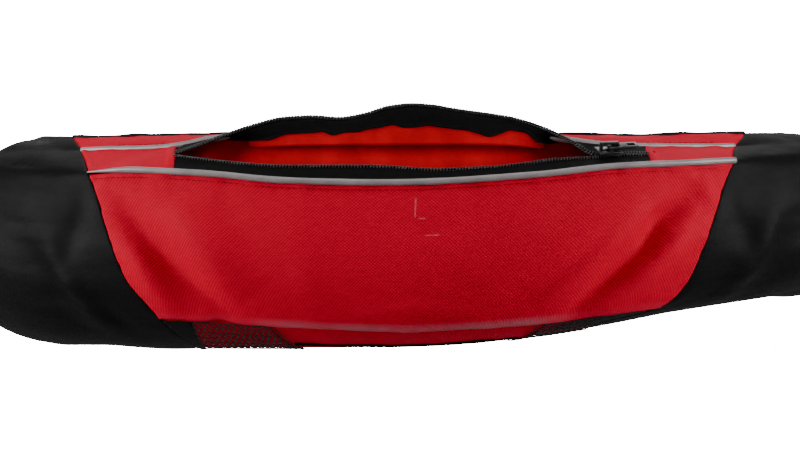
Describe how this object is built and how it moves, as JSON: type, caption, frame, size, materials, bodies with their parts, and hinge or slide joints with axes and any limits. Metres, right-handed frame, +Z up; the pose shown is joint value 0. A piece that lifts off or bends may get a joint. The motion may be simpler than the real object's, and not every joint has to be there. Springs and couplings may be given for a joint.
{
  "type": "inflatable belt pack",
  "caption": "Waist belt pack with padded cuffs, an open front zip pocket, netting under the bag and webbing closed by a buckle at the back.",
  "frame": {"origin": "on the waist's axis, at the middle of the front bag's height", "axes": "+Z up, the bag faces -Y, +X is the picture's right"},
  "size_m": [0.4626, 0.3207, 0.1233],
  "materials": {
    "red_cloth": "plain woven polyester",
    "red_lining": "thin smooth lining over padding",
    "black_cloth": "plain woven polyester",
    "black_net": "coarse open net",
    "grey_piping": "silver grey corded edging",
    "zip_tape": "woven tape",
    "zip_coil": "nylon coil",
    "zip_metal": "dark enamelled casting",
    "webbing": "ribbed webbing",
    "buckle_plastic": "moulded plastic"
  },
  "bodies": {
    "pack": {"front_panel": "red_cloth", "top_panel": "red_cloth", "lower_panel": "red_cloth", "zip_end_left": "red_cloth", "zip_end_right": "red_cloth", "padded_back_wall": "red_lining", "back_panel": "black_cloth", "left_cuff": "black_cloth", "right_cuff": "black_cloth", "strap_left": "webbing", "strap_right": "webbing", "strap_keeper": "webbing", "buckle": "buckle_plastic", "piping_top": "grey_piping", "piping_front": "grey_piping", "top_binding": "black_cloth", "lower_piping": "black_cloth", "net_left": "black_net", "net_right": "black_net", "zip_tape_back": "zip_tape", "zip_tape_front": "zip_tape", "zip_coil_back": "zip_coil", "zip_coil_front": "zip_coil", "zip_slider": "zip_metal"},
    "pull": {"zip_pull": "zip_metal"}
  },
  "joints": [
    {"name": "pull_hinge", "type": "hinge", "parent": "pack", "child": "pull", "pos_m": [0.09162, -0.14462, 0.04269], "axis": [0.2659, -0.9248, -0.2722], "range_deg": [0, 150]}
  ]
}
